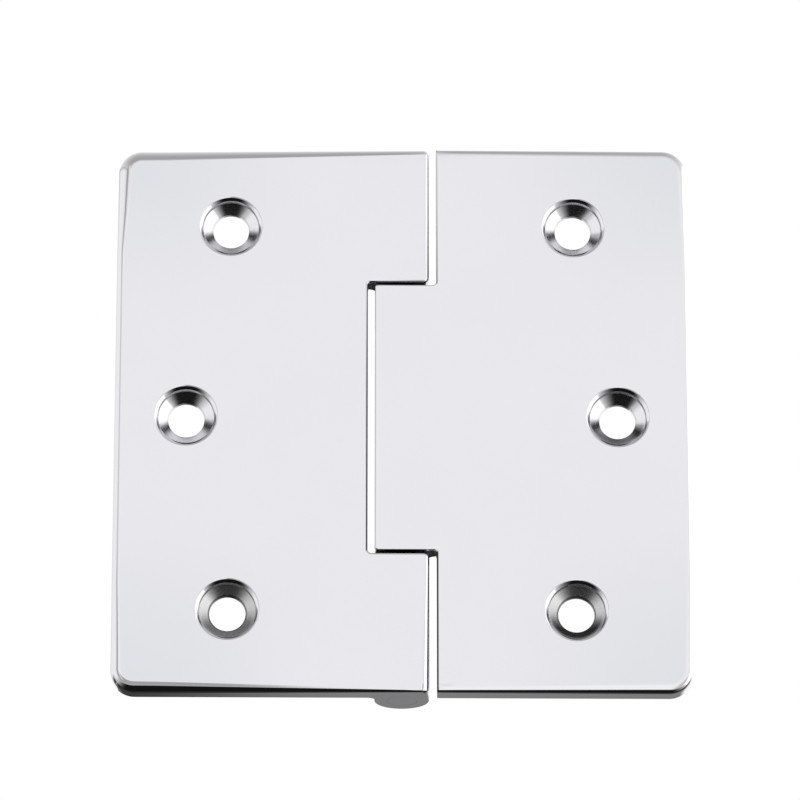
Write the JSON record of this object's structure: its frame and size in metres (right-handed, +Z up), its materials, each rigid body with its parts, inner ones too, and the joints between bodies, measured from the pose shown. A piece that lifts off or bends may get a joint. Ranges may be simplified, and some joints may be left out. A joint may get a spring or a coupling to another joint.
{
  "type": "butt hinge",
  "caption": "Polished steel butt hinge with flush faces, countersunk screw holes and a barrel behind the faces, opened flat.",
  "frame": {"origin": "on the pin's axis at mid height, within half a millimetre of the centre of the box", "axes": "+Z up along the pin, -Y out of the polished faces, +Y to the barrel side, +X towards the leaf with the middle knuckle"},
  "size_m": [0.0762, 0.0079, 0.0762],
  "materials": {
    "polished_steel": "mirror-polished stainless steel",
    "pin_steel": "turned stainless steel"
  },
  "bodies": {
    "fixed_leaf": {"two_knuckle_leaf": "polished_steel", "hinge_pin": "pin_steel"},
    "moving_leaf": {"single_knuckle_leaf": "polished_steel"}
  },
  "joints": [
    {"name": "hinge_turn", "type": "hinge", "parent": "fixed_leaf", "child": "moving_leaf", "pos_m": [0, 0, 0], "axis": [0, 0, 1], "range_deg": [-10, 180]}
  ]
}
